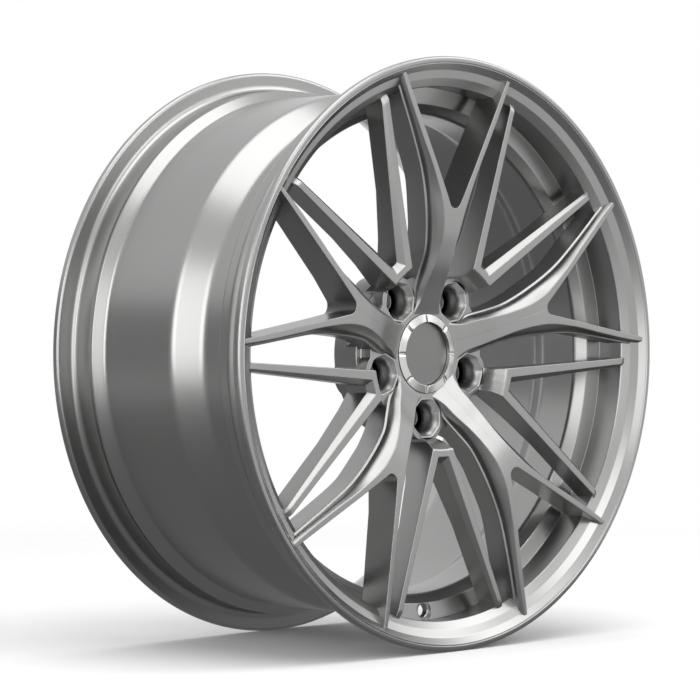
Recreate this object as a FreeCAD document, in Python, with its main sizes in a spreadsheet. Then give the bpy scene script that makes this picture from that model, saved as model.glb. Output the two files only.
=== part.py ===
"""Forged 19 x 9J wheel rim: barrel, forged spoke centre, lug seat inserts, hub ring and centre cap.

The wheel spins about +Y, its outboard face looks along -Y and one main arm points up (+Z).
The origin is the wheel's centre, midway between the two flanges.
Depths in the sheet are measured rearward from the outboard flange's tip circle.
"""
import math
import os
import re

import FreeCAD
import Part
import Sketcher

Vector = FreeCAD.Vector

SIZES = [
    # rim contour
    ("seat_radius", 243.7, "bead seat radius of a 19 inch rim"),
    ("flange_height", 17.3, "J flange height over the bead seat"),
    ("rim_width", 228.6, "9J, between the tyre faces of the flanges"),
    ("lip_overhang", 5.0, "tyre face to the flange's tip circle"),
    ("lip_front", 3.0, "tip circle to the foremost face of the lip"),
    ("lip_round", 3.6, "rounding of the flange tips"),
    ("edge_round", 2.0, "rounding of small corners of the contour"),
    ("seat_fillet", 6.5, "fillet between flange and bead seat"),
    ("seat_width", 20.0, "bead seat, flange to hump"),
    ("seat_drop", 1.75, "fall of the 5 degree seat over its width"),
    ("hump_height", 1.4, "hump over the seat's inner edge"),
    ("hump_width", 5.0, "seat edge to hump crest"),
    ("well_radius", 219.2, "outside of the drop centre"),
    ("ledge_radius", 240.8, "ledge between hump and drop centre"),
    ("ledge_depth", 45.5, "depth where the ledge ends"),
    ("well_front", 57.0, "depth where the drop centre starts"),
    ("well_rear", 87.4, "depth where the drop centre ends"),
    ("step_round", 4.0, "rounding of the steps in the contour"),
    ("well_round", 9.0, "rounding of the drop centre's corners"),
    ("barrel_radius", 235.0, "outside of the rear barrel"),
    ("barrel_front", 113.0, "depth where the rear barrel starts"),
    ("barrel_end_gap", 34.0, "rear tyre face to the end of the rear barrel"),
    ("barrel_wall", 5.6, "wall of drop centre and rear barrel"),
    ("lip_edge_radius", 253.5, "inner edge of the lip's front face"),
    ("band_radius", 249.2, "outer edge of the band inside the lip"),
    ("band_depth", 2.6, "depth of the band's outer edge"),
    ("ring_radius", 242.3, "outer edge of the cone the V spokes end on"),
    ("ring_depth", 6.0, "depth of the cone's outer edge"),
    ("throat_radius", 234.8, "inner wall behind the cone"),
    ("throat_depth", 11.7, "depth where the inner wall starts"),
    ("land_radius", 237.0, "outer edge of the valve land"),
    ("land_depth", 39.5, "depth of the land's outer edge"),
    ("land_inner_radius", 221.9, "inner edge of the valve land"),
    ("land_inner_depth", 42.5, "depth of the land's inner edge"),
    ("valve_reach", 228.5, "radius of the valve hole's centre"),
    ("valve_radius", 5.65, "valve hole for an 11.3 mm stem"),
    ("valve_spot_radius", 9.0, "spot faces at both ends of the valve hole"),
    ("valve_front", 42.6, "depth of the front spot face"),
    ("valve_rear", 48.5, "depth of the rear spot face, which the valve's seal sits on"),
    ("cutter_run", 4.0, "run of a cutter past the surface it leaves"),
    ("rough_radius", 275.0, "outside of the rough forging before its feet are trimmed"),
    # V spokes, in the frame of the V's axis
    ("vee_outer_start", 79.0, "where the outer flanks would meet on the axis"),
    ("vee_outer_slope", 0.505, "spread of the outer flanks"),
    ("vee_inner_start", 101.0, "apex of the window inside the V"),
    ("vee_inner_slope", 0.525, "spread of the inner flanks"),
    ("vee_apex_round", 1.5, "rounding of the apex"),
    ("vee_reach", 240.0, "rough length of the V spokes before they are trimmed"),
    ("vee_chamfer", 3.6, "chamfer along the inner flanks"),
    ("bridge_width", 23.4, "block between the V and its lug pocket"),
    ("bridge_radius", 75.5, "radius where the bridge meets the lug boss"),
    ("bridge_top_radius", 87.4, "radius where the bridge's ramp ends"),
    ("bridge_top_depth", 19.6, "depth there"),
    ("vee_root_radius", 96.6, "radius where the V's face starts"),
    ("vee_root_depth", 16.2, "depth there"),
    ("vee_tip_radius", 233.5, "radius where the V's face ends"),
    ("vee_tip_depth", 7.6, "depth there"),
    ("vee_end_radius", 241.0, "foot of the bevel at the V's tips"),
    # back of all spokes
    ("back_pad_radius", 84.0, "foot of the hub pad's flank"),
    ("back_pad_depth", 50.0, "depth there"),
    ("back_root_radius", 117.0, "inner end of the long back slope"),
    ("back_root_depth", 41.0, "depth there"),
    ("back_mid_radius", 157.0, "bend of the back slope"),
    ("back_mid_depth", 34.5, "depth there"),
    ("back_rim_depth", 30.5, "depth of the back at the barrel"),
    # window between the two blades of an arm
    ("crotch_start", 120.0, "where the window's sides would meet"),
    ("crotch_slope", 0.52, "spread of the window's sides"),
    ("crotch_round", 7.0, "rounding of the window's inner end"),
    # hub
    ("hub_face", 78.0, "depth of the mounting face"),
    ("hub_front", 38.0, "depth of the hub's front face"),
    ("hub_radius", 70.0, "forged hub behind the arms"),
    ("pad_radius", 76.0, "mounting pad"),
    ("bore_radius", 36.55, "73.1 mm centre bore"),
    ("bore_depth", 14.0, "length of the centre bore at full size"),
    ("bore_chamfer", 1.5, "lead-in of the centre bore"),
    ("bolt_circle", 114.3, "pitch circle diameter of the lug holes"),
    ("boss_radius", 21.6, "forged boss round a lug pocket"),
    ("pocket_radius", 13.4, "socket clearance pocket"),
    ("pocket_mouth", 16.8, "flats of the pocket's octagonal mouth"),
    ("pocket_step", 1.6, "depth of the octagonal mouth"),
    ("pocket_bevel", 5.5, "depth of the cone under the mouth"),
    ("socket_radius", 18.6, "clearance for a socket's outside, cut into the arms' flanks"),
    ("pocket_floor", 58.0, "depth of the pocket's floor"),
    ("insert_radius", 11.6, "outside of a lug seat insert"),
    ("insert_length", 15.0, "length of a lug seat insert"),
    ("insert_cone", 10.8, "mouth radius of the 60 degree seat"),
    ("stud_radius", 7.75, "clearance for M14 studs"),
    ("relief_radius", 9.5, "weight relief between the lug holes"),
    ("relief_depth", 14.0, "depth of the weight relief"),
    # centre cap
    ("cap_recess_radius", 35.4, "recess for the centre cap"),
    ("cap_ledge", 45.0, "depth of the ledge the cap rests on"),
    ("cap_bore_radius", 32.2, "bore the cap's fingers grip"),
    ("cap_gap", 0.4, "radial clearance of the cap in its recess"),
    ("cap_front", 36.0, "depth of the cap ring's front edge"),
    ("cap_bevel", 1.6, "fall of the cap ring's bevel"),
    ("cap_flange", 3.0, "thickness of the cap's flange"),
    ("ring_inner_radius", 28.2, "inside of the notched ring"),
    ("notch_width", 1.6, "spanner notches in the ring"),
    ("disc_gap", 0.3, "radial clearance of the face disc"),
    ("disc_recess", 1.2, "ring edge to face disc"),
    ("finger_radius", 31.2, "outside of the cap's fingers"),
    ("finger_wall", 2.4, "thickness of the cap's fingers"),
    ("finger_length", 12.0, "length of the cap's fingers"),
    ("finger_slot", 5.0, "slots between the fingers"),
    ("barb_rise", 0.6, "barb over the fingers"),
    ("barb_length", 1.8, "taper from the barb to the fingers' ends"),
    ("spring_thickness", 1.0, "flat spring ring that spreads the fingers"),
    ("spring_width", 2.4, "width of the spring ring"),
    # hub ring
    ("hub_ring_bore", 33.55, "67.1 mm hub spigot"),
    ("hub_ring_length", 10.0, "length of the hub ring"),
]

# Cross-sections of a main arm. Each holds the reach from the axis, the half widths of the face,
# of the crest of the flank beside it and of the ledge at the foot of that flank, and their depths.
ARM_SECTIONS = {
    "root": (26.0, 34.0, 40.0, 44.0, 42.2, 44.5, 47.0),
    "neck": (59.0, 13.5, 16.5, 19.0, 27.5, 32.0, 36.5),
    "rise": (92.0, 9.3, 14.4, 17.4, 12.6, 18.2, 24.2),
    "crease": (125.0, 13.0, 20.0, 23.6, 3.4, 9.6, 16.6),
    "fork": (158.0, 26.0, 29.6, 32.6, 1.2, 6.8, 12.5),
    "blade": (191.0, 43.0, 45.6, 47.6, 0.6, 4.8, 9.0),
    "foot": (224.0, 59.6, 61.8, 63.6, 0.1, 3.6, 7.0),
    "tip": (257.0, 74.2, 76.8, 79.0, -0.4, 3.0, 5.6),
}
ARM_FIELDS = ("reach", "face", "crest", "ledge", "front", "crest_depth", "ledge_depth")

ARM_COUNT = 5
CAP_NOTCHES = 8

doc = FreeCAD.newDocument("wheel_rim")
sheet = doc.addObject("Spreadsheet::Sheet", "sizes")
rows = list(SIZES)
for section, values in ARM_SECTIONS.items():
    for field, value in zip(ARM_FIELDS, values):
        rows.append((f"arm_{section}_{field}", value, f"{field} of the arm's {section}"))
for row, (alias, value, note) in enumerate(rows, start=1):
    sheet.set(f"A{row}", alias)
    sheet.set(f"B{row}", str(value))
    sheet.set(f"C{row}", note)
    sheet.setAlias(f"B{row}", alias)
doc.recompute()


def bound(text):
    """Expression text in which every alias, a word with an underscore, is read from the sheet."""
    return re.sub(r"[a-z]+(?:_[a-z]+)+", lambda word: "sizes." + word.group(0), str(text))


def value_of(text):
    """Present value of an expression."""
    return float(sheet.evalExpression(bound(text)))


def at_depth(text):
    """Y of a depth behind the outboard tip circle."""
    return f"({text}) - rim_width / 2 - lip_overhang"


def plane_of(body, name):
    """Origin plane or axis of a body."""
    return next(item for item in body.Origin.OriginFeatures if item.Role == name)


def new_sketch(body, name, plane):
    """Empty sketch on one of the body's own origin planes."""
    sketch = body.newObject("Sketcher::SketchObject", name)
    sketch.AttachmentSupport = [(plane_of(body, plane), "")]
    sketch.MapMode = "FlatFace"
    return sketch


def place_point(sketch, geometry, position, corner):
    """Bind one point of a sketch to the corner's two expressions."""
    for kind, text in (("DistanceX", corner[0]), ("DistanceY", corner[1])):
        index = sketch.addConstraint(
            Sketcher.Constraint(kind, -1, 1, geometry, position, value_of(text)))
        sketch.setExpression(f"Constraints[{index}]", bound(text))


def round_corner(before, corner, after, radius):
    """Tangent points, centre and turning sense of an arc that rounds a corner."""
    arrive = (corner - before).normalize()
    leave = (after - corner).normalize()
    turn = arrive.x * leave.y - arrive.y * leave.x
    setback = radius * math.tan(math.acos(max(-1.0, min(1.0, arrive.dot(leave)))) / 2)
    start = corner - arrive * setback
    end = corner + leave * setback
    side = Vector(-arrive.y, arrive.x, 0) * math.copysign(1.0, turn)
    return start, end, start + side * radius, turn > 0


def outline(sketch, corners):
    """Closed outline through corners (x, y) or (x, y, radius), each value an expression."""
    points = [Vector(value_of(corner[0]), value_of(corner[1]), 0) for corner in corners]
    count = len(corners)
    arcs = {}
    starts = list(points)
    ends = list(points)
    for index, corner in enumerate(corners):
        if len(corner) == 3:
            arcs[index] = round_corner(points[index - 1], points[index],
                                       points[(index + 1) % count], value_of(corner[2]))
            ends[index] = arcs[index][0]
            starts[index] = arcs[index][1]
    lines = [sketch.addGeometry(Part.LineSegment(starts[i], ends[(i + 1) % count]), False)
             for i in range(count)]
    for index, corner in enumerate(corners):
        before = lines[index - 1]
        after = lines[index]
        if index not in arcs:
            sketch.addConstraint(Sketcher.Constraint("Coincident", before, 2, after, 1))
            place_point(sketch, after, 1, corner)
            continue
        start, end, centre, left_turn = arcs[index]
        first = math.atan2(start.y - centre.y, start.x - centre.x)
        last = math.atan2(end.y - centre.y, end.x - centre.x)
        if not left_turn:
            first, last = last, first
        circle = Part.Circle(centre, Vector(0, 0, 1), value_of(corner[2]))
        arc = sketch.addGeometry(Part.ArcOfCircle(circle, first, last), False)
        arrive, leave = (1, 2) if left_turn else (2, 1)
        vertex = sketch.addGeometry(Part.Point(points[index]), True)
        sketch.addConstraint([
            Sketcher.Constraint("Tangent", before, 2, arc, arrive),
            Sketcher.Constraint("Tangent", arc, leave, after, 1),
            Sketcher.Constraint("PointOnObject", vertex, 1, before),
            Sketcher.Constraint("PointOnObject", vertex, 1, after),
        ])
        radius = sketch.addConstraint(Sketcher.Constraint("Radius", arc, value_of(corner[2])))
        sketch.setExpression(f"Constraints[{radius}]", bound(corner[2]))
        place_point(sketch, vertex, 1, corner)


def mirrored(corners):
    """Half outline on +X, bottom to top, closed by its mirror image on -X."""
    left = [(f"-({corner[0]})", *corner[1:]) for corner in reversed(corners) if corner[0] != "0"]
    return list(corners) + left


def revolved(body, name, corners, kind="Revolution"):
    """Ring about +Y from a profile of (radius, y) corners, added or grooved out."""
    sketch = new_sketch(body, f"{name}_profile", "XY_Plane")
    outline(sketch, corners)
    feature = body.newObject(f"PartDesign::{kind}", name)
    feature.Profile = sketch
    feature.ReferenceAxis = (sketch, ["V_Axis"])
    feature.Angle = 360
    doc.recompute()
    return feature


def padded(body, name, sketch, front, back, kind="Pad"):
    """Prism along Y between two depths, added or pocketed, from an outline seen from outboard."""
    sketch.setExpression(".AttachmentOffset.Base.z", bound(f"-({at_depth(back)})"))
    feature = body.newObject(f"PartDesign::{kind}", name)
    feature.Profile = sketch
    feature.setExpression("Length", bound(f"({back}) - ({front})"))
    feature.Reversed = kind == "Pocket"
    doc.recompute()
    return feature


def face_sketch(body, name, turn=0.0):
    """Sketch seen from outboard whose own Y axis is turned from +Z."""
    sketch = new_sketch(body, name, "XZ_Plane")
    sketch.AttachmentOffset = FreeCAD.Placement(Vector(), FreeCAD.Rotation(Vector(0, 0, 1), turn))
    return sketch


def circle_in(sketch, radius, reach):
    """Circle on the sketch's Y axis."""
    centre = Vector(0, value_of(reach), 0)
    index = sketch.addGeometry(Part.Circle(centre, Vector(0, 0, 1), value_of(radius)), False)
    size = sketch.addConstraint(Sketcher.Constraint("Radius", index, value_of(radius)))
    sketch.setExpression(f"Constraints[{size}]", bound(radius))
    place_point(sketch, index, 3, ("0", reach))


def around(body, feature, count):
    """Copies of a feature spread evenly about the wheel's axis."""
    pattern = body.newObject("PartDesign::PolarPattern", f"{feature.Name}_pattern")
    pattern.Originals = [feature]
    pattern.Axis = (plane_of(body, "Y_Axis"), [""])
    pattern.Angle = 360
    pattern.Occurrences = count
    body.Tip = pattern
    doc.recompute()
    return pattern


def new_body(name):
    """Empty body labelled with its node's name."""
    body = doc.addObject("PartDesign::Body", name)
    body.Label = name
    return body


REAR = "rim_width / 2"
RIM_RADIUS = "seat_radius + flange_height"
SEAT_EDGE = "seat_radius - seat_drop"
HUMP = "seat_radius - seat_drop + hump_height"
INNER_WALL = [
    ("lip_edge_radius", at_depth("-lip_front")),
    ("band_radius", at_depth("band_depth")),
    ("ring_radius", at_depth("ring_depth")),
    ("throat_radius", at_depth("throat_depth"), "edge_round"),
    ("land_radius", at_depth("land_depth")),
]


# Barrel: flanges, bead seats with humps, drop centre, and the inner contour seen from the front.
rim = new_body("rim_barrel")
revolved(rim, "contour", [
    (RIM_RADIUS, at_depth("-lip_front"), "lip_round"),
    (RIM_RADIUS, at_depth("lip_overhang"), "lip_round"),
    ("seat_radius", at_depth("lip_overhang"), "seat_fillet"),
    (SEAT_EDGE, at_depth("lip_overhang + seat_width")),
    (HUMP, at_depth("lip_overhang + seat_width + hump_width"), "edge_round"),
    ("ledge_radius", at_depth("lip_overhang + seat_width + 2 * hump_width")),
    ("ledge_radius", at_depth("ledge_depth"), "step_round"),
    ("well_radius", at_depth("well_front"), "well_round"),
    ("well_radius", at_depth("well_rear"), "well_round"),
    ("barrel_radius", at_depth("barrel_front"), "well_round"),
    ("barrel_radius", f"{REAR} - barrel_end_gap", "step_round"),
    (HUMP, f"{REAR} - seat_width - hump_width", "edge_round"),
    (SEAT_EDGE, f"{REAR} - seat_width"),
    ("seat_radius", REAR, "seat_fillet"),
    (RIM_RADIUS, REAR, "lip_round"),
    (RIM_RADIUS, f"{REAR} + lip_overhang + lip_front", "lip_round"),
    ("band_radius", f"{REAR} + lip_overhang + lip_front"),
    ("ring_radius", f"{REAR} + lip_overhang - ring_depth", "step_round"),
    ("barrel_radius - barrel_wall", f"{REAR} - barrel_end_gap", "well_round"),
    ("barrel_radius - barrel_wall", at_depth("barrel_front + barrel_wall / 2"), "well_round"),
    ("well_radius - barrel_wall", at_depth("well_rear + barrel_wall / 2"), "well_round"),
    ("well_radius - barrel_wall", at_depth("well_front - barrel_wall"), "step_round"),
    ("land_inner_radius", at_depth("land_inner_depth"), "edge_round"),
    *reversed(INNER_WALL),
])


# Valve hole through the land at the bottom of the wheel, with its spot faces.
for name, radius, front, back in (
        ("valve_hole", "valve_radius", "throat_depth", "well_front"),
        ("valve_front_face", "valve_spot_radius", "throat_depth", "valve_front"),
        ("valve_rear_face", "valve_spot_radius", "valve_rear", "well_front")):
    drill = face_sketch(rim, f"{name}_outline", 180)
    circle_in(drill, radius, "valve_reach")
    padded(rim, name, drill, front, back, "Pocket")


# Centre: hub with its pad, lug bosses, five V spoke pairs and five forked arms in one forging.
centre = new_body("hub_and_vees")
revolved(centre, "hub", [
    ("cap_bore_radius", at_depth("cap_ledge")),
    ("cap_recess_radius", at_depth("cap_ledge")),
    ("cap_recess_radius", at_depth("hub_front")),
    ("hub_radius", at_depth("hub_front")),
    ("hub_radius", at_depth("back_pad_depth")),
    ("pad_radius", at_depth("back_pad_depth")),
    ("pad_radius", at_depth("hub_face")),
    ("bore_radius + bore_chamfer", at_depth("hub_face")),
    ("bore_radius", at_depth("hub_face - bore_chamfer")),
    ("bore_radius", at_depth("hub_face - bore_depth")),
    ("cap_bore_radius", at_depth("hub_face - bore_depth")),
])

half_turn = 180 / ARM_COUNT
bosses = face_sketch(centre, "lug_boss_outline", half_turn)
circle_in(bosses, "boss_radius", "bolt_circle / 2")
around(centre, padded(centre, "lug_boss", bosses, "hub_front", "hub_face"), ARM_COUNT)

bridge_end = "vee_outer_start + bridge_width / 2 / vee_outer_slope"
vees = face_sketch(centre, "vee_outline", half_turn)
outline(vees, mirrored([
    ("bridge_width / 2", "bolt_circle / 2 + boss_radius / 2"),
    ("bridge_width / 2", bridge_end),
    ("vee_outer_slope * (vee_reach - vee_outer_start)", "vee_reach"),
    ("vee_inner_slope * (vee_reach - vee_inner_start)", "vee_reach"),
    ("0", "vee_inner_start", "vee_apex_round"),
]))
around(centre, padded(centre, "vee", vees, "-lip_front", "hub_face"), ARM_COUNT)
revolved(centre, "vee_front", [
    ("bridge_radius", at_depth("-lip_front - cutter_run")),
    ("bridge_radius", at_depth("hub_front")),
    ("bridge_top_radius", at_depth("bridge_top_depth")),
    ("vee_root_radius", at_depth("vee_root_depth")),
    ("vee_tip_radius", at_depth("vee_tip_depth")),
    ("vee_end_radius", at_depth("throat_depth")),
    ("rough_radius", at_depth("throat_depth")),
    ("rough_radius", at_depth("-lip_front - cutter_run")),
], "Groove")


def in_vee_frame(point):
    """Distance across and along the nearest V's axis."""
    step = math.radians(360 / ARM_COUNT)
    angle = math.atan2(point.x, point.z) % step - step / 2
    reach = math.hypot(point.x, point.z)
    return abs(reach * math.sin(angle)), reach * math.cos(angle)


def on_inner_flank(edge):
    """True for the long front edges along the window inside a V."""
    middle = edge.valueAt((edge.FirstParameter + edge.LastParameter) / 2)
    across, along = in_vee_frame(middle)
    off_flank = abs(across - value_of("vee_inner_slope") * (along - value_of("vee_inner_start")))
    return (off_flank < value_of("vee_apex_round") / 2
            and edge.Length > value_of("vee_tip_radius - vee_root_radius") / 2
            and middle.y < value_of(at_depth("bridge_top_depth")))


chamfer = centre.newObject("PartDesign::Chamfer", "vee_chamfer")
flanks = [f"Edge{index}" for index, edge in enumerate(centre.Shape.Edges, start=1)
          if on_inner_flank(edge)]
chamfer.Base = (chamfer.BaseFeature or centre.Tip, flanks)
chamfer.setExpression("Size", bound("vee_chamfer"))
centre.Tip = chamfer
doc.recompute()


def trim_spokes(body):
    """Cut the back slope shared by all spokes and fit their feet to the barrel's inner wall."""
    revolved(body, f"{body.Name}_back", [
        ("pad_radius", at_depth("hub_face")),
        ("back_pad_radius", at_depth("back_pad_depth")),
        ("back_root_radius", at_depth("back_root_depth")),
        ("back_mid_radius", at_depth("back_mid_depth")),
        ("throat_radius", at_depth("back_rim_depth")),
        ("rough_radius", at_depth("back_rim_depth")),
        ("rough_radius", at_depth("hub_face + cutter_run")),
        ("pad_radius", at_depth("hub_face + cutter_run")),
    ], "Groove")
    revolved(body, f"{body.Name}_feet", [
        *INNER_WALL,
        ("rough_radius", at_depth("land_depth")),
        ("rough_radius", at_depth("-lip_front - cutter_run")),
        ("lip_edge_radius", at_depth("-lip_front - cutter_run")),
    ], "Groove")


trim_spokes(centre)


# One forked arm, lofted through its cross-sections and split by the window between its blades.
arm = new_body("forked_arm")
sections = []
for section in ARM_SECTIONS:
    sketch = new_sketch(arm, f"arm_{section}", "XY_Plane")
    sketch.setExpression(".AttachmentOffset.Base.z", bound(f"arm_{section}_reach"))
    outline(sketch, mirrored([
        (f"arm_{section}_ledge", at_depth("hub_face")),
        (f"arm_{section}_ledge", at_depth(f"arm_{section}_ledge_depth")),
        (f"arm_{section}_crest", at_depth(f"arm_{section}_crest_depth")),
        (f"arm_{section}_face", at_depth(f"arm_{section}_front")),
    ]))
    sections.append(sketch)
loft = arm.newObject("PartDesign::AdditiveLoft", "arm_loft")
loft.Profile = sections[0]
loft.Sections = sections[1:]
doc.recompute()
fork = face_sketch(arm, "fork_outline")
outline(fork, mirrored([
    ("0", "crotch_start", "crotch_round"),
    ("crotch_slope * (arm_tip_reach + cutter_run - crotch_start)", "arm_tip_reach + cutter_run"),
]))
padded(arm, "fork", fork, "-lip_front - cutter_run", "hub_face + cutter_run", "Pocket")
trim_spokes(arm)


def spread(name, body):
    """Links to a body at every arm's place."""
    links = []
    for index in range(ARM_COUNT):
        link = doc.addObject("App::Link", f"{name}_{index + 1}")
        link.LinkedObject = body
        link.Placement.Rotation = FreeCAD.Rotation(Vector(0, 1, 0), index * 360 / ARM_COUNT)
        links.append(link)
    return links


forging = doc.addObject("Part::MultiFuse", "rough_forging")
forging.Shapes = [centre, *spread("arm", arm)]
doc.recompute()

lug_centre = "bolt_circle / 2"


def lug_sketch(body, name):
    """Sketch of depth against radius in the plane through a lug hole."""
    sketch = new_sketch(body, name, "YZ_Plane")
    sketch.AttachmentOffset = FreeCAD.Placement(
        Vector(), FreeCAD.Rotation(Vector(1, 0, 0), half_turn))
    return sketch


def turned_on_lug(body, name, sketch, kind):
    """Revolve a lug sketch about the lug hole's own axis."""
    ends = (at_depth("-lip_front"), at_depth("hub_face"))
    axis = sketch.addGeometry(Part.LineSegment(
        *(Vector(value_of(end), value_of(lug_centre), 0) for end in ends)), True)
    for position, end in enumerate(ends, start=1):
        place_point(sketch, axis, position, (end, lug_centre))
    feature = body.newObject(f"PartDesign::{kind}", name)
    feature.Profile = sketch
    feature.ReferenceAxis = (sketch, ["Axis0"])
    feature.Angle = 360
    doc.recompute()
    return feature


# Tool with the shape of one lug pocket, its octagonal mouth and the relief beside it.
lug_tool = new_body("lug_tool")
lug_tool.AllowCompound = True
pocket = lug_sketch(lug_tool, "lug_profile")
outline(pocket, [
    (at_depth("hub_face + cutter_run"), lug_centre),
    (at_depth("hub_face + cutter_run"), f"{lug_centre} + stud_radius"),
    (at_depth("pocket_floor + insert_length"), f"{lug_centre} + stud_radius"),
    (at_depth("pocket_floor + insert_length"), f"{lug_centre} + insert_radius"),
    (at_depth("pocket_floor"), f"{lug_centre} + insert_radius"),
    (at_depth("pocket_floor"), f"{lug_centre} + pocket_radius"),
    (at_depth("hub_front + pocket_step + pocket_bevel"), f"{lug_centre} + pocket_radius"),
    (at_depth("hub_front + pocket_step"), f"{lug_centre} + pocket_mouth"),
    (at_depth("hub_front"), f"{lug_centre} + pocket_mouth"),
    (at_depth("hub_front"), f"{lug_centre} + socket_radius"),
    (at_depth("-lip_front"), f"{lug_centre} + socket_radius"),
    (at_depth("-lip_front"), lug_centre),
])
turned_on_lug(lug_tool, "lug_pocket", pocket, "Revolution")
mouth = face_sketch(lug_tool, "mouth_outline", -half_turn)
flat = "pocket_mouth * tan(22.5)"
outline(mouth, mirrored([
    (flat, f"{lug_centre} - pocket_mouth"),
    ("pocket_mouth", f"{lug_centre} - {flat}"),
    ("pocket_mouth", f"{lug_centre} + {flat}"),
    (flat, f"{lug_centre} + pocket_mouth"),
]))
padded(lug_tool, "mouth", mouth, "hub_front - pocket_step", "hub_front + pocket_step")
relief = face_sketch(lug_tool, "relief_outline")
circle_in(relief, "relief_radius", "bolt_circle / 2")
padded(lug_tool, "relief", relief, "hub_face - relief_depth", "hub_face + cutter_run")


def ring_part(name, corners):
    """Turned piece about the wheel's axis."""
    body = new_body(name)
    revolved(body, name + "_turned", corners)
    return body


# Tool with the shape of the centre bore: cap recess, cap bore and hub bore.
bore_tool = ring_part("bore_tool", [
    ("0", at_depth("-lip_front")),
    ("cap_recess_radius", at_depth("-lip_front")),
    ("cap_recess_radius", at_depth("cap_ledge")),
    ("cap_bore_radius", at_depth("cap_ledge")),
    ("cap_bore_radius", at_depth("hub_face - bore_depth")),
    ("bore_radius", at_depth("hub_face - bore_depth")),
    ("bore_radius", at_depth("hub_face - bore_chamfer")),
    ("bore_radius + 2 * bore_chamfer", at_depth("hub_face + bore_chamfer")),
    ("0", at_depth("hub_face + bore_chamfer")),
])
drills = doc.addObject("Part::MultiFuse", "hub_drills")
drills.Shapes = [bore_tool, *spread("lug", lug_tool)]
spokes = doc.addObject("Part::Cut", "spoke_centre")
spokes.Label = "spoke_centre"
spokes.Base = forging
spokes.Tool = drills
doc.recompute()


# Steel seats pressed into the lug pockets, with the 60 degree cone the nuts tighten on.
cone_depth = "(insert_cone - stud_radius) / tan(30)"
seats = new_body("lug_seat_inserts")
seats.AllowCompound = True
profile = lug_sketch(seats, "seat_profile")
outline(profile, [
    (at_depth("pocket_floor"), f"{lug_centre} + insert_cone"),
    (at_depth("pocket_floor"), f"{lug_centre} + insert_radius"),
    (at_depth("pocket_floor + insert_length"), f"{lug_centre} + insert_radius"),
    (at_depth("pocket_floor + insert_length"), f"{lug_centre} + stud_radius"),
    (at_depth(f"pocket_floor + {cone_depth}"), f"{lug_centre} + stud_radius"),
])
around(seats, turned_on_lug(seats, "seat", profile, "Revolution"), ARM_COUNT)


# Plastic ring that centres the bore on the hub's spigot.
hub_ring = ring_part("hub_centric_ring", [
    ("hub_ring_bore", at_depth("hub_face - bore_chamfer")),
    ("hub_ring_bore", at_depth("hub_face - bore_chamfer - hub_ring_length")),
    ("bore_radius", at_depth("hub_face - bore_chamfer - hub_ring_length")),
    ("bore_radius", at_depth("hub_face - bore_chamfer")),
])


# Centre cap: flanged body with spring fingers, notched ring, face disc and spreading ring.
CAP_RADIUS = "cap_recess_radius - cap_gap"
cap_seat = "cap_ledge - cap_flange"
cap_body = ring_part("cap_body", [
    ("0", at_depth(cap_seat)),
    (CAP_RADIUS, at_depth(cap_seat)),
    (CAP_RADIUS, at_depth("cap_ledge")),
    ("finger_radius", at_depth("cap_ledge")),
    ("finger_radius", at_depth("cap_ledge + finger_length - barb_length - barb_rise")),
    ("finger_radius + barb_rise", at_depth("cap_ledge + finger_length - barb_length")),
    ("finger_radius", at_depth("cap_ledge + finger_length")),
    ("finger_radius - finger_wall", at_depth("cap_ledge + finger_length")),
    ("finger_radius - finger_wall", at_depth("cap_ledge")),
    ("0", at_depth("cap_ledge")),
])
slot = face_sketch(cap_body, "finger_slot_outline")
outline(slot, mirrored([
    ("finger_slot / 2", "finger_radius / 2"),
    ("finger_slot / 2", "cap_recess_radius"),
]))
around(cap_body, padded(cap_body, "finger_slot", slot, "cap_ledge", "hub_face", "Pocket"),
       CAP_NOTCHES)

cap_ring = ring_part("cap_ring", [
    ("ring_inner_radius", at_depth("cap_front")),
    (CAP_RADIUS, at_depth("cap_front + cap_bevel")),
    (CAP_RADIUS, at_depth(cap_seat)),
    ("ring_inner_radius", at_depth(cap_seat)),
])
notch = face_sketch(cap_ring, "notch_outline")
outline(notch, mirrored([
    ("notch_width / 2", "ring_inner_radius - notch_width"),
    ("notch_width / 2", "cap_recess_radius"),
]))
around(cap_ring, padded(cap_ring, "notch", notch, "cap_front - notch_width", "cap_front + cap_bevel",
                        "Pocket"), CAP_NOTCHES)

DISC_RADIUS = "ring_inner_radius - disc_gap"
face_disc = ring_part("cap_face_disc", [
    ("0", at_depth("cap_front + disc_recess")),
    (DISC_RADIUS, at_depth("cap_front + disc_recess")),
    (DISC_RADIUS, at_depth(cap_seat)),
    ("0", at_depth(cap_seat)),
])

SPRING_RADIUS = "finger_radius - finger_wall"
SPRING_FRONT = "cap_ledge + finger_length - barb_length - spring_width"
spring = ring_part("cap_spring_ring", [
    (f"{SPRING_RADIUS} - spring_thickness", at_depth(SPRING_FRONT)),
    (SPRING_RADIUS, at_depth(SPRING_FRONT)),
    (SPRING_RADIUS, at_depth(f"{SPRING_FRONT} + spring_width")),
    (f"{SPRING_RADIUS} - spring_thickness", at_depth(f"{SPRING_FRONT} + spring_width")),
])

NODES = {
    "rim_barrel": rim,
    "spoke_centre": spokes,
    "lug_seat_inserts": seats,
    "hub_centric_ring": hub_ring,
    "cap_body": cap_body,
    "cap_ring": cap_ring,
    "cap_face_disc": face_disc,
    "cap_spring_ring": spring,
}
failed = [item.Name for item in doc.Objects if {"Invalid", "Error"} & set(item.State)]
if failed:
    raise RuntimeError(f"failed to rebuild: {failed}")
for node, item in NODES.items():
    if item.Shape.isNull() or not item.Shape.isValid():
        raise RuntimeError(f"bad shape: {node}")

os.makedirs("parts", exist_ok=True)
for node, item in NODES.items():
    item.Shape.exportStep(f"parts/{node}.step")
    box = item.Shape.BoundBox
    print(node, len(item.Shape.Solids), round(item.Shape.Volume), box)
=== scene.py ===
"""Forged 19 x 9J wheel rim: turned barrel, milled spoke centre, lug seats, hub ring, centre cap."""
import math

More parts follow.
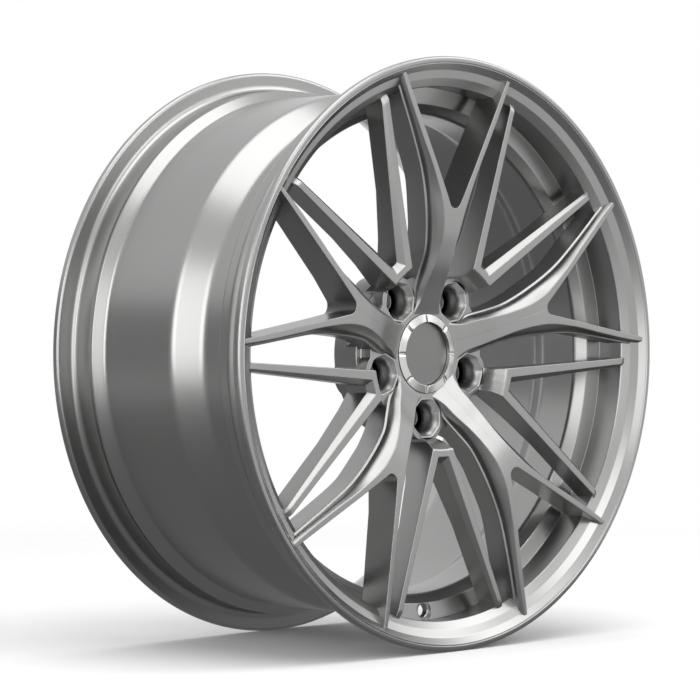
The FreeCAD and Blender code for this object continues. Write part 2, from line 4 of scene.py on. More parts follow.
import bmesh
import bpy
import numpy as np
from mathutils import Matrix, Vector


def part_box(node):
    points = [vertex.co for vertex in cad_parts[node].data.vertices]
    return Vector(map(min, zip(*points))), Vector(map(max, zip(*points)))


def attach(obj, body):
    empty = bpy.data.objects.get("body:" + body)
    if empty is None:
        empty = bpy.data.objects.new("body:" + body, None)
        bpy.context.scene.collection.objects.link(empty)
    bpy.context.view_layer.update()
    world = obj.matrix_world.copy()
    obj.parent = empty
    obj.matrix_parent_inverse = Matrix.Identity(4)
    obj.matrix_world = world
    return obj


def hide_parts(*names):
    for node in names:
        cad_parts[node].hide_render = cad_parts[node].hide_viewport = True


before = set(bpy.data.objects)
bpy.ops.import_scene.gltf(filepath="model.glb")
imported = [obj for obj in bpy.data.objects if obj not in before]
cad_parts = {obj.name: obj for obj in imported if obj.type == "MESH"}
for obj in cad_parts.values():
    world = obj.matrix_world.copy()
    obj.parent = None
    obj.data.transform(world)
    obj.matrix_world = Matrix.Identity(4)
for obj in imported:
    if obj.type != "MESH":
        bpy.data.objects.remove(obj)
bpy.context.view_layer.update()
scene = bpy.context.scene
scene.view_settings.view_transform = "Standard"
wheel_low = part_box("rim_barrel")[0]

# ---------------------------------------------------------------------------------------------
# Camera: level with the hub, about 44 degrees round from the outboard face, with a long lens.
lens = bpy.data.cameras.new("view")
lens.sensor_width = 36.0
lens.lens = 144.75
camera = bpy.data.objects.new("view", lens)
scene.collection.objects.link(camera)
camera.location = (-1.7944, -1.8221, 0.0268)
camera.rotation_euler = Vector((0.69849, 0.71555, -0.00939)).to_track_quat("-Z", "Y").to_euler()
scene.camera = camera

# ---------------------------------------------------------------------------------------------
# Studio: a pale matt floor under both flanges, white surroundings and a large soft light overhead.
# Four smaller soft lights stand round the front, and dark cards that only the metal sees lie to the
# left and behind, where they draw the dark bands along the barrel.
floor_mesh = bpy.data.meshes.new("floor")
floor_mesh.from_pydata([(-4, -4, 0), (4, -4, 0), (4, 4, 0), (-4, 4, 0)], [], [(0, 1, 2, 3)])
floor_mesh.transform(Matrix.Translation((0, 0, wheel_low.z)))
floor = bpy.data.objects.new("floor", floor_mesh)
scene.collection.objects.link(floor)
floor.visible_glossy = False
floor_paint = bpy.data.materials.new("pale_floor")
floor_paint.use_nodes = True
cloth = floor_paint.node_tree
matt = cloth.nodes["Principled BSDF"]
matt.inputs["Base Color"].default_value = (0.95, 0.95, 0.95, 1)
matt.inputs["Roughness"].default_value = 0.9
matt.inputs["Specular IOR Level"].default_value = 0.0
spot = cloth.nodes.new("ShaderNodeTexCoord")
away = cloth.nodes.new("ShaderNodeVectorMath")
away.operation = "LENGTH"
cloth.links.new(spot.outputs["Object"], away.inputs[0])
fade = cloth.nodes.new("ShaderNodeMapRange")
fade.interpolation_type = "SMOOTHSTEP"
fade.inputs["From Min"].default_value = 0.7
fade.inputs["From Max"].default_value = 1.7
cloth.links.new(away.outputs["Value"], fade.inputs["Value"])
clear = cloth.nodes.new("ShaderNodeBsdfTransparent")
edge = cloth.nodes.new("ShaderNodeMixShader")
cloth.links.new(fade.outputs[0], edge.inputs[0])
cloth.links.new(matt.outputs[0], edge.inputs[1])
cloth.links.new(clear.outputs[0], edge.inputs[2])
cloth.links.new(edge.outputs[0], cloth.nodes["Material Output"].inputs["Surface"])
floor_mesh.materials.append(floor_paint)

world = bpy.data.worlds.new("studio")
scene.world = world
world.use_nodes = True
sky = world.node_tree
room = sky.nodes["Background"]
room.inputs["Color"].default_value = (0.48, 0.48, 0.48, 1)
white = sky.nodes.new("ShaderNodeBackground")
white.inputs["Color"].default_value = (1, 1, 1, 1)
rays = sky.nodes.new("ShaderNodeLightPath")
seen = sky.nodes.new("ShaderNodeMath")
seen.operation = "MAXIMUM"
sky.links.new(rays.outputs["Is Camera Ray"], seen.inputs[0])
mirrored_or_through = sky.nodes.new("ShaderNodeMath")
mirrored_or_through.operation = "MAXIMUM"
sky.links.new(rays.outputs["Is Glossy Ray"], mirrored_or_through.inputs[0])
sky.links.new(rays.outputs["Is Transmission Ray"], mirrored_or_through.inputs[1])
sky.links.new(mirrored_or_through.outputs[0], seen.inputs[1])
blend = sky.nodes.new("ShaderNodeMixShader")
sky.links.new(seen.outputs[0], blend.inputs[0])
sky.links.new(room.outputs[0], blend.inputs[1])
sky.links.new(white.outputs[0], blend.inputs[2])
sky.links.new(blend.outputs[0], sky.nodes["World Output"].inputs["Surface"])


def softbox(name, place, target, width, height, watts):
    """Rectangular area lamp that looks from a place to a target."""
    lamp = bpy.data.lights.new(name, "AREA")
    lamp.shape = "RECTANGLE"
    lamp.size = width
    lamp.size_y = height
    lamp.energy = watts
    holder = bpy.data.objects.new(name, lamp)
    scene.collection.objects.link(holder)
    holder.location = place
    look = Vector(target) - Vector(place)
    holder.rotation_euler = look.to_track_quat("-Z", "Y").to_euler()


softbox("overhead", (-0.3, -0.35, 2.7), (-0.3, -0.2, 0), 2.6, 3.1, 56)
softbox("front", (0.75, -2.8, 1.3), (0, 0, 0), 1.4, 1.4, 17)
softbox("right", (1.95, -1.25, 1.75), (0, 0, 0), 1.3, 1.9, 20)
softbox("left", (-3.0, -0.15, 0.45), (0, 0, 0.1), 1.3, 2.7, 30)
softbox("behind_camera", (-2.3, -2.45, 0.45), (0, 0, 0), 2.2, 2.2, 27)


def card(name, corners, tone):
    """Matt card that only the metal sees."""
    sheet = bpy.data.meshes.new(name)
    sheet.from_pydata(corners, [], [tuple(range(len(corners)))])
    panel = bpy.data.objects.new(name, sheet)
    scene.collection.objects.link(panel)
    panel.visible_camera = False
    panel.visible_diffuse = False
    panel.visible_shadow = False
    panel.visible_transmission = False
    paint = bpy.data.materials.new(name)
    paint.use_nodes = True
    shader = paint.node_tree.nodes["Principled BSDF"]
    shader.inputs["Base Color"].default_value = (tone, tone, tone, 1)
    shader.inputs["Roughness"].default_value = 0.9
    sheet.materials.append(paint)


below = wheel_low.z - 0.001
card("dark_floor", [(-3.6, 0.35, below), (-0.5, -0.75, below), (0.6, -0.6, below),
                    (0.6, 5.0, below), (-3.6, 5.0, below)], 0.5)
card("dark_side", [(-3.6, 0.7, below), (-3.6, 5.0, below), (-3.6, 5.0, 1.4), (-3.6, 0.7, 1.4)],
     0.62)
card("dark_back", [(-3.6, 5.0, below), (-0.6, 5.0, below), (-0.6, 5.0, 1.4), (-3.6, 5.0, 1.4)],
     0.62)


# ---------------------------------------------------------------------------------------------
# Finishes: aluminium left bare from the lathe and the mill, under a satin clear coat. The tool
# marks are fine rings about the spin axis on turned faces and fine streaks on milled ones.
def tool_marks():
    """Node group: bump and roughness of fine tool marks.

    Rings: noise read at (distance from the spin axis, depth) so that it stays constant along a
    turn. Streaks: noise stretched along the wheel's height.
    """
    group = bpy.data.node_groups.new("tool_marks", "ShaderNodeTree")
    face = group.interface
    for label, value in (("Turned", 1.0), ("Pitch", 900.0), ("Depth", 0.1), ("Roughness", 0.3)):
        face.new_socket(label, in_out="INPUT", socket_type="NodeSocketFloat").default_value = value
    face.new_socket("Roughness", in_out="OUTPUT", socket_type="NodeSocketFloat")
    face.new_socket("Shade", in_out="OUTPUT", socket_type="NodeSocketFloat")
    face.new_socket("Normal", in_out="OUTPUT", socket_type="NodeSocketVector")
    nodes = group.nodes
    link = group.links.new
    given = nodes.new("NodeGroupInput")
    result = nodes.new("NodeGroupOutput")
    place = nodes.new("ShaderNodeTexCoord")
    split = nodes.new("ShaderNodeSeparateXYZ")
    link(place.outputs["Object"], split.inputs[0])
    flat = nodes.new("ShaderNodeCombineXYZ")
    link(split.outputs["X"], flat.inputs["X"])
    link(split.outputs["Z"], flat.inputs["Z"])
    reach = nodes.new("ShaderNodeVectorMath")
    reach.operation = "LENGTH"
    link(flat.outputs[0], reach.inputs[0])
    rings = nodes.new("ShaderNodeCombineXYZ")
    link(reach.outputs["Value"], rings.inputs["X"])
    link(split.outputs["Y"], rings.inputs["Y"])
    streaks = nodes.new("ShaderNodeVectorMath")
    streaks.operation = "MULTIPLY"
    link(place.outputs["Object"], streaks.inputs[0])
    streaks.inputs[1].default_value = (1.0, 1.0, 0.04)
    pick = nodes.new("ShaderNodeMix")
    pick.data_type = "VECTOR"
    link(given.outputs["Turned"], pick.inputs["Factor"])
    link(streaks.outputs[0], pick.inputs[4])
    link(rings.outputs[0], pick.inputs[5])
    marks = nodes.new("ShaderNodeTexNoise")
    marks.inputs["Detail"].default_value = 3.0
    link(pick.outputs[1], marks.inputs["Vector"])
    link(given.outputs["Pitch"], marks.inputs["Scale"])
    cloud = nodes.new("ShaderNodeTexNoise")
    cloud.inputs["Scale"].default_value = 14.0
    cloud.inputs["Detail"].default_value = 4.0
    link(place.outputs["Object"], cloud.inputs["Vector"])
    rough = nodes.new("ShaderNodeMath")
    rough.operation = "MULTIPLY_ADD"
    link(marks.outputs["Fac"], rough.inputs[0])
    rough.inputs[1].default_value = 0.05
    link(given.outputs["Roughness"], rough.inputs[2])
    link(rough.outputs[0], result.inputs["Roughness"])
    shade = nodes.new("ShaderNodeMapRange")
    link(cloud.outputs["Fac"], shade.inputs["Value"])
    shade.inputs["To Min"].default_value = 0.95
    shade.inputs["To Max"].default_value = 1.04
    fine = nodes.new("ShaderNodeMapRange")
    link(marks.outputs["Fac"], fine.inputs["Value"])
    fine.inputs["To Min"].default_value = 0.965
    fine.inputs["To Max"].default_value = 1.035
    both = nodes.new("ShaderNodeMath")
    both.operation = "MULTIPLY"
    link(shade.outputs[0], both.inputs[0])
    link(fine.outputs[0], both.inputs[1])
    link(both.outputs[0], result.inputs["Shade"])
    bump = nodes.new("ShaderNodeBump")
    bump.inputs["Distance"].default_value = 0.00002
    link(given.outputs["Depth"], bump.inputs["Strength"])
    link(marks.outputs["Fac"], bump.inputs["Height"])
    soft = nodes.new("ShaderNodeBevel")
    soft.samples = 4
    soft.inputs["Radius"].default_value = 0.0006
    link(soft.outputs[0], bump.inputs["Normal"])
    link(bump.outputs[0], result.inputs["Normal"])
    return group


MARKS = tool_marks()


def bare_metal(name, tone, turned, pitch, depth, roughness):
    """Metal whose colour, roughness and normal carry the tool marks."""
    paint = bpy.data.materials.new(name)
    paint.use_nodes = True
    tree = paint.node_tree
    shader = tree.nodes["Principled BSDF"]
    shader.inputs["Metallic"].default_value = 1.0
    marks = tree.nodes.new("ShaderNodeGroup")
    marks.node_tree = MARKS
    marks.inputs["Turned"].default_value = turned
    marks.inputs["Pitch"].default_value = pitch
    marks.inputs["Depth"].default_value = depth
    marks.inputs["Roughness"].default_value = roughness
    colour = tree.nodes.new("ShaderNodeMix")
    colour.data_type = "RGBA"
    colour.blend_type = "MULTIPLY"
    colour.inputs["Factor"].default_value = 1.0
    colour.inputs[6].default_value = (*tone, 1)
    tree.links.new(marks.outputs["Shade"], colour.inputs[7])
    tree.links.new(colour.outputs[2], shader.inputs["Base Color"])
    tree.links.new(marks.outputs["Roughness"], shader.inputs["Roughness"])
    tree.links.new(marks.outputs["Normal"], shader.inputs["Normal"])
    return paint


turned_alloy = bare_metal("turned_alloy", (0.32, 0.32, 0.317), 1.0, 1500.0, 0.08, 0.26)
milled_alloy = bare_metal("milled_alloy", (0.325, 0.325, 0.322), 0.0, 1400.0, 0.06, 0.29)


# ---------------------------------------------------------------------------------------------
# Barrel: one turned aluminium ring with J flanges, bead seats, humps and a drop centre. Inside
# the lip a band, a cone and a land step down to the inner wall; the land holds the valve hole.
MM = 0.001
FRONT = wheel_low.y + 3.0 * MM


def soften(corners, setbacks, steps):
    """Closed outline with its corners rounded.

    Each corner becomes a parabola between two points set back along its sides:
    (1-t)^2 a + 2t(1-t) corner + t^2 b. Corners may be an array of many outlines at once.
    """
    corners = np.asarray(corners, float)
    setbacks = np.asarray(setbacks, float)[..., None]
    before = np.roll(corners, 1, axis=-2) - corners
    after = np.roll(corners, -1, axis=-2) - corners
    far_before = np.maximum(np.linalg.norm(before, axis=-1, keepdims=True), 1e-6)
    far_after = np.maximum(np.linalg.norm(after, axis=-1, keepdims=True), 1e-6)
    start = corners + before * np.minimum(setbacks / far_before, 0.48)
    end = corners + after * np.minimum(setbacks / far_after, 0.48)
    t = np.linspace(0, 1, steps)[:, None]
    curve = ((1 - t) ** 2 * start[..., None, :] + 2 * t * (1 - t) * corners[..., None, :]
             + t ** 2 * end[..., None, :])
    return curve.reshape(*corners.shape[:-2], -1, 2)


def grid_mesh(name, rings, closed_along=False):
    """Mesh over rings of points; closed round each ring, and along them or with end caps."""
    count, size, _ = rings.shape
    index = np.arange(count * size).reshape(count, size)
    if closed_along:
        index = np.vstack([index, index[:1]])
    a = index[:-1]
    b = index[1:]
    quads = np.stack([a, np.roll(a, -1, 1), np.roll(b, -1, 1), b], axis=-1).reshape(-1, 4)
    faces = quads.tolist()
    if not closed_along:
        faces.append(index[0, ::-1].tolist())
        faces.append(index[-1].tolist())
    mesh = bpy.data.meshes.new(name)
    mesh.from_pydata(rings.reshape(-1, 3).tolist(), [], faces)
    work = bmesh.new()
    work.from_mesh(mesh)
    bmesh.ops.remove_doubles(work, verts=work.verts, dist=1e-6)
    bmesh.ops.recalc_face_normals(work, faces=work.faces)
    work.to_mesh(mesh)
    work.free()
    return mesh


def turned_mesh(name, outline, steps):
    """Ring about the spin axis: each (radius, depth) point goes round as (r sin a, y, r cos a)."""
    angle = np.linspace(0, 2 * np.pi, steps, endpoint=False)[:, None]
    radius = outline[:, 0] * MM
    depth = np.broadcast_to(outline[:, 1] * MM + FRONT, (steps, len(outline)))
    return grid_mesh(name, np.stack([radius * np.sin(angle), depth, radius * np.cos(angle)], -1),
                     closed_along=True)


def piece(name, mesh, paint, body, node):
    """Finished piece of the wheel in place of a plain node."""
    thing = bpy.data.objects.new(name, mesh)
    scene.collection.objects.link(thing)
    mesh.materials.clear()
    mesh.materials.append(paint)
    mesh.polygons.foreach_set("use_smooth", [True] * len(mesh.polygons))
    mesh.set_sharp_from_angle(angle=math.radians(32))
    even = thing.modifiers.new("even_shading", "WEIGHTED_NORMAL")
    even.keep_sharp = True
    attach(thing, body)
    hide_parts(node)


def cut(mesh, tools, operation="DIFFERENCE"):
    """Mesh less the closed tool meshes."""
    blank = bpy.data.objects.new("blank", mesh)
    scene.collection.objects.link(blank)
    helpers = []
    for tool in tools:
        helper = bpy.data.objects.new("tool", tool)
        scene.collection.objects.link(helper)
        helpers.append(helper)
        step = blank.modifiers.new("cut", "BOOLEAN")
        step.operation = operation
        step.solver = "EXACT"
        step.object = helper
    bpy.context.view_layer.update()
    graph = bpy.context.evaluated_depsgraph_get()
    result = bpy.data.meshes.new_from_object(blank.evaluated_get(graph))
    for extra in (blank, *helpers):
        bpy.data.objects.remove(extra)
    return result


BARREL = [
    (261.0, -3.0, 3.2), (261.0, 5.0, 3.2), (243.7, 5.0, 6.0), (241.95, 25.0, 0.6),
    (243.35, 30.0, 1.5), (240.8, 35.0, 1.0), (240.8, 45.5, 3.0), (219.2, 57.0, 6.0),
    (219.2, 87.4, 5.0), (235.0, 113.0, 5.0), (235.0, 199.6, 3.0), (243.35, 208.6, 1.5),
    (241.95, 213.6, 0.6), (243.7, 233.6, 6.0), (261.0, 233.6, 3.2), (261.0, 241.6, 3.2),
    (249.2, 241.6, 1.0), (242.3, 227.6, 3.0), (229.4, 199.6, 8.0), (229.4, 115.8, 6.0),
    (213.6, 90.2, 6.0), (213.6, 51.4, 3.0), (221.9, 42.5, 0.6), (237.0, 39.5, 0.7),
    (234.8, 11.7, 1.2), (242.3, 6.0, 0.5), (249.2, 2.6, 0.5), (254.8, -2.7, 0.3),
    (255.4, -2.0, 0.2), (256.2, -3.0, 0.3),
]
barrel_outline = soften([corner[:2] for corner in BARREL], [corner[2] for corner in BARREL], 5)
barrel_mesh = turned_mesh("barrel", barrel_outline, 288)


def drill_mesh(name, x, z, radii, steps=48):
    """Closed drill along the depth axis: circles of (radius, depth) about a point of the face."""
    angle = np.linspace(0, 2 * np.pi, steps, endpoint=False)
    table = np.array(radii, float) * MM
    rings = np.stack([x * MM + table[:, :1] * np.sin(angle),
                      np.broadcast_to(table[:, 1:] + FRONT, (len(table), steps)),
                      z * MM + table[:, :1] * np.cos(angle)], axis=-1)
    return grid_mesh(name, rings)


valve_drill = drill_mesh("valve_drill", 0, -228.5,
                         [(9.0, 15.0), (9.0, 42.6), (6.4, 42.6), (5.65, 43.4), (5.65, 48.5),
                          (9.0, 48.5), (9.0, 60.0)])
barrel_mesh = cut(barrel_mesh, [valve_drill])
piece("barrel", barrel_mesh, turned_alloy, "wheel", "rim_barrel")


# ---------------------------------------------------------------------------------------------
# Lug pockets: an octagonal mouth that runs down a chamfer into a round bore for the nut.
LUG_CIRCLE = 57.15
LUG_ANGLE = math.radians(36)


def lug_rings(levels, extra=0.0):
    """Rings of (radius, depth, blend) about a lug hole: circles at blend 0, octagons at 1.

    A regular octagon's edge lies at inradius / cos(angle to the nearest flat).
    """
    angle = np.linspace(0, 2 * np.pi, 96, endpoint=False)
    octagon = 1 / np.cos((angle + np.pi / 8) % (np.pi / 4) - np.pi / 8)
    octagon = np.minimum(octagon, 1.055)
    rings = []
    for radius, depth, blend in levels:
        reach = radius * (1 + (octagon - 1) * blend) + extra
        rings.append(np.stack([reach * np.sin(angle), np.full(96, depth),
                               LUG_CIRCLE + reach * np.cos(angle)], axis=-1))
    rings = np.array(rings) * MM
    rings[..., 1] += FRONT
    return rings


def lug_tool(extra=0.0):
    """Closed cutter of one lug pocket, with room for a socket in front of its octagonal mouth."""
    levels = [(18.6, -20.0, 0), (18.6, 38.0, 0), (17.0, 38.0, 1), (16.2, 39.0, 1),
              (15.2, 41.0, 0.8), (14.2, 42.8, 0.4), (13.6, 44.6, 0.1), (13.4, 46.2, 0),
              (13.4, 58.0, 0), (8.0, 58.0, 0), (7.75, 59.0, 0), (7.75, 90.0, 0)]
    mesh = grid_mesh("lug_tool", lug_rings(levels, extra))
    mesh.transform(Matrix.Rotation(LUG_ANGLE, 4, "Y"))
    return mesh


recess_tool = drill_mesh("recess_tool", 0, 0,
                         [(35.4, -20.0), (35.4, 45.0), (32.2, 45.0), (32.2, 90)], 128)
ROOM = [(300.0, -30.0), (300.0, 60.0), (237.9, 60.0), (237.4, 39.5), (235.2, 11.7), (242.7, 6.2),
        (249.6, 2.8), (254.0, -2.6), (254.0, -30.0)]
outer_tool = turned_mesh("outer_tool", np.array(ROOM), 240)


def spread(name, half, both_sides=True):
    """Five turned copies of a mesh, and their mirror images, in one mesh."""
    work = bmesh.new()
    for index in range(5):
        for mirror in ((1, -1) if both_sides else (1,)):
            copy = half.copy()
            copy.transform(Matrix.Rotation(2 * math.pi * index / 5, 4, "Y")
                           @ Matrix.Diagonal((mirror, 1, 1, 1)))
            if mirror < 0:
                copy.flip_normals()
            work.from_mesh(copy)
            bpy.data.meshes.remove(copy)
    whole = bpy.data.meshes.new(name)
    work.to_mesh(whole)
    work.free()
    return whole


# ---------------------------------------------------------------------------------------------
# Forked arms: five milled arms that rise from the hub, roll over at their flanks onto a narrow
# ledge, and split into two blades that run out to the lip.
ARM = np.array([
    # reach, face, crest, ledge, face depth, crest depth, ledge depth
    (24.0, 30.0, 34.0, 37.0, 41.0, 43.0, 44.5),
    (34.0, 17.6, 21.4, 24.0, 38.4, 40.4, 41.6),
    (46.0, 12.6, 15.2, 17.2, 33.4, 37.0, 39.2),
    (59.0, 11.6, 15.0, 17.8, 27.5, 32.2, 36.5),
    (75.0, 10.2, 14.2, 17.2, 19.4, 25.2, 31.0),
    (92.0, 9.3, 14.4, 17.4, 12.6, 18.2, 24.2),
    (108.0, 10.0, 16.4, 19.8, 7.0, 13.4, 20.2),
    (125.0, 13.0, 20.0, 23.6, 3.4, 9.6, 16.6),
    (158.0, 26.0, 29.6, 32.6, 1.2, 6.8, 12.5),
    (191.0, 43.0, 45.6, 47.6, 0.6, 4.8, 9.0),
    (224.0, 59.6, 61.8, 63.6, 0.1, 3.6, 7.0),
    (257.0, 74.2, 76.8, 79.0, -0.4, 3.0, 5.6),
])
BACK = np.array([(0, 63.7), (76.0, 63.7), (84.0, 50.0), (117.0, 41.0), (157.0, 34.5), (236.0, 30.5),
                 (300.0, 30.5)])


def along(table, reach):
    """Rows of a table at any reach, by cubic Hermite pieces with central-difference slopes."""
    knots = table[:, 0]
    slopes = np.gradient(table[:, 1:], knots, axis=0)
    low = np.clip(np.searchsorted(knots, reach, side="right") - 1, 0, len(knots) - 2)
    span = (knots[low + 1] - knots[low])[:, None]
    t = ((reach - knots[low]) / span[:, 0])[:, None]
    return ((2 * t ** 3 - 3 * t ** 2 + 1) * table[low, 1:]
            + (t ** 3 - 2 * t ** 2 + t) * span * slopes[low]
            + (3 * t ** 2 - 2 * t ** 3) * table[low + 1, 1:]
            + (t ** 3 - t ** 2) * span * slopes[low + 1])


# Mirrored halves pass their centre plane by SEAM and stay SHARP there, so that no line shows
# between them.
SEAM = -0.05
SHARP = 0.02


def half_arm():
    """Half of an arm as rounded cross-sections along its reach.

    The inner side is the centre line as far as the fork, whose edge is a circle of 7 mm that runs
    tangentially into a straight side.
    """
    nose = 7.0
    fork = 120.0
    slope = 0.52
    turn = math.atan(slope)
    hub = fork + nose / math.sin(turn)
    reach = np.concatenate([np.linspace(24, hub - nose, 60),
                            hub - nose * np.cos(np.linspace(0.05, 1.2, 12)),
                            np.linspace(hub - 1.5, 260, 64)])
    face, crest, ledge, front, crest_depth, ledge_depth = along(ARM, reach).T
    fork_round = np.sqrt(np.maximum(nose ** 2 - (reach - hub) ** 2, 0))
    inner = np.where(reach < hub - nose * math.sin(turn), fork_round, slope * (reach - fork))
    solid = reach < hub - nose
    inner = np.where(solid, SEAM, inner)
    inner = np.minimum(inner, face - 1.2)
    back_in = np.interp(np.hypot(inner, reach), *BACK.T)
    back_out = np.interp(np.hypot(ledge, reach), *BACK.T)
    corners = np.stack([
        np.stack([inner, front], -1),
        np.stack([face, front], -1),
        np.stack([crest, crest_depth], -1),
        np.stack([ledge - 1.9, ledge_depth - 0.5], -1),
        np.stack([ledge, ledge_depth], -1),
        np.stack([ledge, back_out], -1),
        np.stack([inner, back_in], -1),
    ], axis=1)
    setbacks = np.tile([0.6, 0.8, 4.5, 0.7, 0.7, 1.0, 1.0], (len(reach), 1))
    setbacks[solid, 0] = setbacks[solid, -1] = SHARP
    outline = soften(corners, setbacks, 6)
    rings = np.stack([outline[..., 0], outline[..., 1],
                      np.broadcast_to(reach[:, None], outline.shape[:2])], axis=-1) * MM
    rings[..., 1] += FRONT
    return grid_mesh("half_arm", rings)


arm_mesh = cut(half_arm(), [lug_tool(0.4), recess_tool, outer_tool])
piece("forked_arms", spread("forked_arms", arm_mesh), milled_alloy, "wheel", "spoke_centre")


# ---------------------------------------------------------------------------------------------
# V spokes: a pair of slender milled legs between two arms. A short bridge carries the pair from
# its lug boss, and a broad chamfer runs round the window between the legs.
TOP_STEPS = 9
TOP_CORNERS = 6
VEE_TOP = soften([(60, 38.0), (75.5, 38.0), (78.5, 27.0), (84.7, 17.2), (233.5, 7.6), (241.0, 11.7),
                  (260, 11.7), (260, 60), (60, 60)], [0.1, 1.5, 3.0, 1.2, 1.0, 1.0, 0.1, 0.1, 0.1],
                 TOP_STEPS)[:TOP_STEPS * TOP_CORNERS]


def half_vee():
    """One leg of a V with its half of the bridge, as rounded cross-sections along its reach.

    The window's edge starts square across the bridge and then follows the leg; the chamfer under
    it falls at 45 degrees and narrows towards the tip.
    """
    mouth = 90.6
    leg_start = 96.2
    reach = np.concatenate([np.linspace(64, 90.5, 40), np.linspace(mouth, 96.1, 14),
                            np.linspace(96.3, 110, 12), np.linspace(113, 256, 46)])
    chamfer = 5.6 - 0.026 * (reach - leg_start)
    fall = np.clip(reach - mouth, 0, chamfer)
    outer = np.maximum(0.387 * reach - 19.6, 10.6)
    edge = 0.41 * np.maximum(reach, mouth) - 30.5
    wall = np.where(reach < leg_start, SEAM, edge - chamfer)

    def top(across):
        return np.interp(np.hypot(across, reach), VEE_TOP[:, 0], VEE_TOP[:, 1])

    def back(across):
        return np.interp(np.hypot(across, reach), *BACK.T)

    corners = np.stack([
        np.stack([wall, top(wall) + fall], -1),
        np.stack([edge - fall, top(edge - fall) + fall], -1),
        np.stack([edge, top(edge)], -1),
        np.stack([outer, top(outer)], -1),
        np.stack([outer, back(outer)], -1),
        np.stack([wall, back(wall)], -1),
    ], axis=1)
    setbacks = np.tile([0.3, 0.3, 0.4, 0.8, 1.0, 1.0], (len(reach), 1))
    setbacks[reach < leg_start, 0] = setbacks[reach < leg_start, -1] = SHARP
    outline = soften(corners, setbacks, 5)
    rings = np.stack([outline[..., 0], outline[..., 1],
                      np.broadcast_to(reach[:, None], outline.shape[:2])], axis=-1) * MM
    rings[..., 1] += FRONT
    return grid_mesh("half_vee", rings)


straight_lug = lug_tool(0.4)
straight_lug.transform(Matrix.Rotation(-LUG_ANGLE, 4, "Y"))
vee_mesh = cut(half_vee(), [straight_lug, outer_tool])
vee_whole = spread("vee_spokes", vee_mesh)
vee_whole.transform(Matrix.Rotation(LUG_ANGLE, 4, "Y"))
piece("vee_spokes", vee_whole, milled_alloy, "wheel", "spoke_centre")


# ---------------------------------------------------------------------------------------------
# Hub: the forged middle with its mounting pad, cap recess and centre bore, and five bosses.
HUB = [(35.4, 38.1, 0.5), (70.0, 38.1, 0.8), (70.0, 50.0, 2.0), (76.0, 50.0, 1.5), (76.0, 78.0, 1.0),
       (38.05, 78.0, 0.2), (36.55, 76.5, 0.2), (36.55, 64.0, 0.3), (32.2, 64.0, 0.3),
       (32.2, 45.0, 0.3), (35.4, 45.0, 0.2)]
hub_mesh = turned_mesh("hub", soften([c[:2] for c in HUB], [c[2] for c in HUB], 4), 160)
tools = []
for index in range(5):
    pocket = lug_tool(0.8)
    pocket.transform(Matrix.Rotation(2 * math.pi * index / 5, 4, "Y"))
    tools.append(pocket)
    spot = 2 * math.pi * index / 5
    tools.append(drill_mesh("relief", LUG_CIRCLE * math.sin(spot), LUG_CIRCLE * math.cos(spot),
                            [(9.5, 64.0), (9.5, 90.0)]))
piece("hub", cut(hub_mesh, tools), milled_alloy, "wheel", "spoke_centre")
boss_mesh = drill_mesh("boss", 0, LUG_CIRCLE,
                       [(20.8, 38.0), (21.4, 38.25), (21.6, 38.9), (21.6, 77.9)], 96)
boss_mesh.transform(Matrix.Rotation(LUG_ANGLE, 4, "Y"))
boss_mesh = cut(boss_mesh, [lug_tool(0.2), recess_tool])
piece("lug_bosses", spread("lug_bosses", boss_mesh, both_sides=False), milled_alloy, "wheel",
      "spoke_centre")


# ---------------------------------------------------------------------------------------------
# Pocket walls: the milled octagonal mouth and round bore of each lug pocket. Their metal is set
# lighter than the face round them, because a deep bore mirrors itself and would turn black.
LINER = [(17.4, 38.3, 1), (17.2, 37.95, 1), (16.7, 37.9, 1), (16.3, 38.3, 1), (15.9, 39.4, 1),
         (15.3, 40.7, 0.8), (14.6, 42.0, 0.5), (14.0, 43.4, 0.2), (13.5, 45.2, 0), (13.2, 47.2, 0),
         (13.2, 57.9, 0), (13.5, 57.9, 0), (13.5, 48.0, 0), (14.5, 45.0, 0.2), (16.0, 42.0, 0.8)]
liner_mesh = grid_mesh("pocket_wall", lug_rings(LINER), closed_along=True)
liner_mesh.transform(Matrix.Rotation(LUG_ANGLE, 4, "Y"))
pocket_alloy = bare_metal("pocket_alloy", (0.50, 0.50, 0.495), 0.0, 1400.0, 0.05, 0.36)
piece("pocket_walls", spread("pocket_walls", liner_mesh, both_sides=False), pocket_alloy, "wheel",
      "spoke_centre")


# ---------------------------------------------------------------------------------------------
# Lug seats and hub ring: turned steel cones pressed into the pockets, and a moulded ring that
# centres the bore on the hub.
seat_steel = bare_metal("seat_steel", (0.66, 0.66, 0.67), 1.0, 1800.0, 0.1, 0.42)
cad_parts["lug_seat_inserts"].data.materials.clear()
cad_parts["lug_seat_inserts"].data.materials.append(seat_steel)


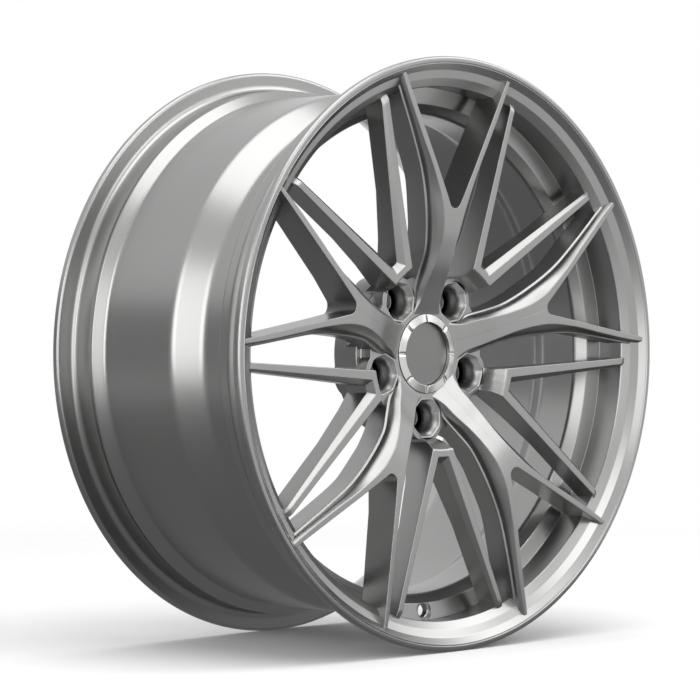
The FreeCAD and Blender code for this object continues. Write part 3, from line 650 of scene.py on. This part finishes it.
def moulded(name, tone, grain):
    """Moulded plastic with a fine grain in its roughness and normal."""
    paint = bpy.data.materials.new(name)
    paint.use_nodes = True
    tree = paint.node_tree
    shader = tree.nodes["Principled BSDF"]
    shader.inputs["Base Color"].default_value = (*tone, 1)
    place = tree.nodes.new("ShaderNodeTexCoord")
    speckle = tree.nodes.new("ShaderNodeTexNoise")
    speckle.inputs["Scale"].default_value = grain
    tree.links.new(place.outputs["Object"], speckle.inputs["Vector"])
    rough = tree.nodes.new("ShaderNodeMapRange")
    tree.links.new(speckle.outputs["Fac"], rough.inputs["Value"])
    rough.inputs["To Min"].default_value = 0.45
    rough.inputs["To Max"].default_value = 0.65
    tree.links.new(rough.outputs[0], shader.inputs["Roughness"])
    bump = tree.nodes.new("ShaderNodeBump")
    bump.inputs["Strength"].default_value = 0.2
    bump.inputs["Distance"].default_value = 0.0001
    tree.links.new(speckle.outputs["Fac"], bump.inputs["Height"])
    tree.links.new(bump.outputs[0], shader.inputs["Normal"])
    return paint


ring_plastic = moulded("ring_plastic", (0.05, 0.05, 0.05), 1500.0)
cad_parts["hub_centric_ring"].data.materials.clear()
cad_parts["hub_centric_ring"].data.materials.append(ring_plastic)


# ---------------------------------------------------------------------------------------------
# Centre cap: a black moulded body that snaps into the hub, a bright notched ring and a satin
# disc. The disc stays bare.
cap_plastic = moulded("cap_plastic", (0.04, 0.04, 0.04), 1200.0)
cap_alloy = bare_metal("cap_alloy", (0.62, 0.62, 0.61), 1.0, 1600.0, 0.1, 0.16)
disc_alloy = bare_metal("disc_alloy", (0.21, 0.21, 0.208), 0.0, 900.0, 0.1, 0.34)
spring_steel = bare_metal("spring_steel", (0.40, 0.40, 0.41), 0.0, 1500.0, 0.1, 0.25)
for node, paint in (("cap_body", cap_plastic), ("cap_spring_ring", spring_steel)):
    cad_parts[node].data.materials.clear()
    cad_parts[node].data.materials.append(paint)

NOTCHES = 8
NOTCH_HALF = 0.85
NOTCH_DEEP = 2.4
notches = []
for index in range(NOTCHES):
    notch = grid_mesh("notch", np.array([[(-NOTCH_HALF, 0, across), (NOTCH_HALF, 0, across),
                                          (NOTCH_HALF, NOTCH_DEEP, across),
                                          (-NOTCH_HALF, NOTCH_DEEP, across)]
                                         for across in (26.0, 37.0)]) * MM)
    notch.transform(Matrix.Rotation(2 * math.pi * index / NOTCHES, 4, "Y")
                    @ Matrix.Translation((0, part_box("cap_ring")[0].y - 1.0 * MM, 0)))
    notches.append(notch)
piece("notched_ring", cut(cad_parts["cap_ring"].data.copy(), notches), cap_alloy,
      "centre_cap", "cap_ring")
disc_mesh = turned_mesh("cap_disc",
                        soften([(0.01, 40.4), (27.9, 40.4), (27.9, 41.95), (0.01, 41.95)],
                               [0.001, 0.4, 0.2, 0.001], 4), 128)
piece("cap_disc", disc_mesh, disc_alloy, "centre_cap", "cap_face_disc")
